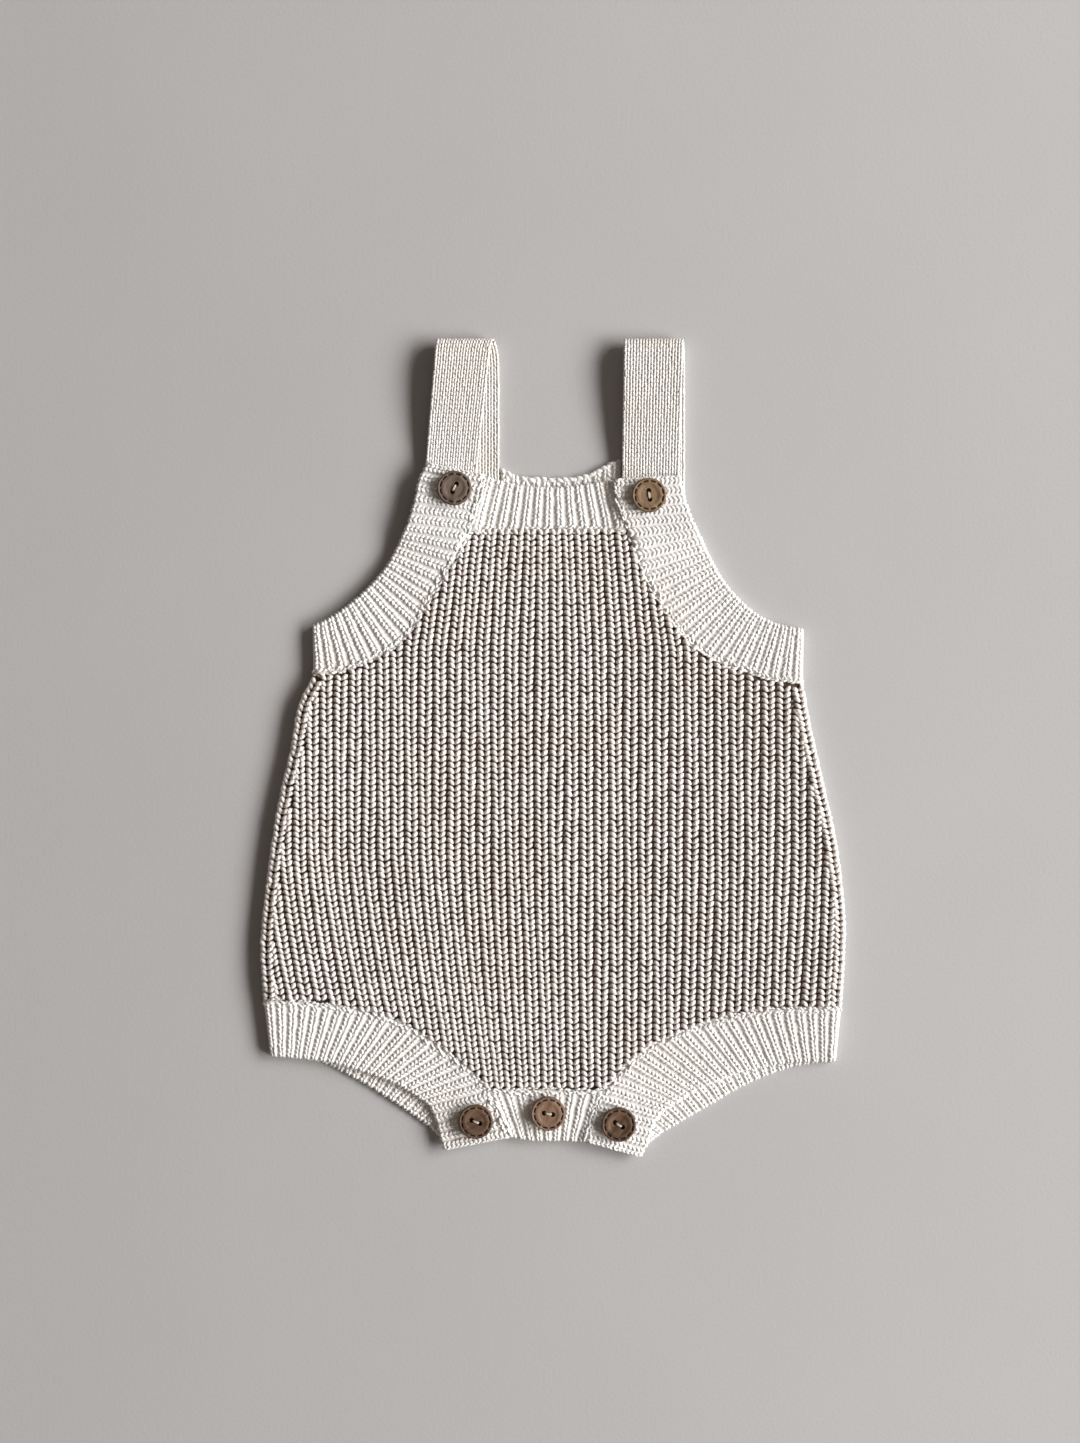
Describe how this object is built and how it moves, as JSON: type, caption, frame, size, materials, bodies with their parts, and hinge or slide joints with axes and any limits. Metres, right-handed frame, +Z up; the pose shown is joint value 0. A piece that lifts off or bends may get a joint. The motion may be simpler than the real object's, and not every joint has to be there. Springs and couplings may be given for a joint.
{
  "type": "baby romper",
  "caption": "Knitted baby romper laid flat: rib body, cream ribbed neck, arm and leg bands, straps folded to the front, wooden buttons at shoulders and crotch.",
  "frame": {"origin": "bottom centre of the garment's box, on the surface that it lies on", "axes": "+Z up out of the surface, +Y along the garment towards the straps, +X to the right seen from above"},
  "size_m": [0.256, 0.3589, 0.0102],
  "materials": {
    "body_rib": "matt fisherman's rib in oatmeal and cream cotton yarn",
    "band_rib": "matt fine 1x1 rib in cream cotton yarn",
    "strap_knit": "matt plain knit in cream cotton yarn",
    "button_wood": "satin brown wood with an engraved dashed ring"
  },
  "bodies": {
    "root": {"front_body": "body_rib", "back_body": "body_rib", "front_neckband": "band_rib", "back_neckband": "band_rib", "front_armband_left": "band_rib", "front_armband_right": "band_rib", "back_armband_left": "band_rib", "back_armband_right": "band_rib", "front_legband_left": "band_rib", "front_legband_right": "band_rib", "back_legband_left": "band_rib", "back_legband_right": "band_rib", "front_crotch_band": "band_rib", "back_crotch_band": "band_rib", "strap_left": "strap_knit", "strap_right": "strap_knit", "button_shoulder_left": "button_wood", "button_shoulder_right": "button_wood", "button_crotch_left": "button_wood", "button_crotch_centre": "button_wood", "button_crotch_right": "button_wood"}
  },
  "joints": []
}
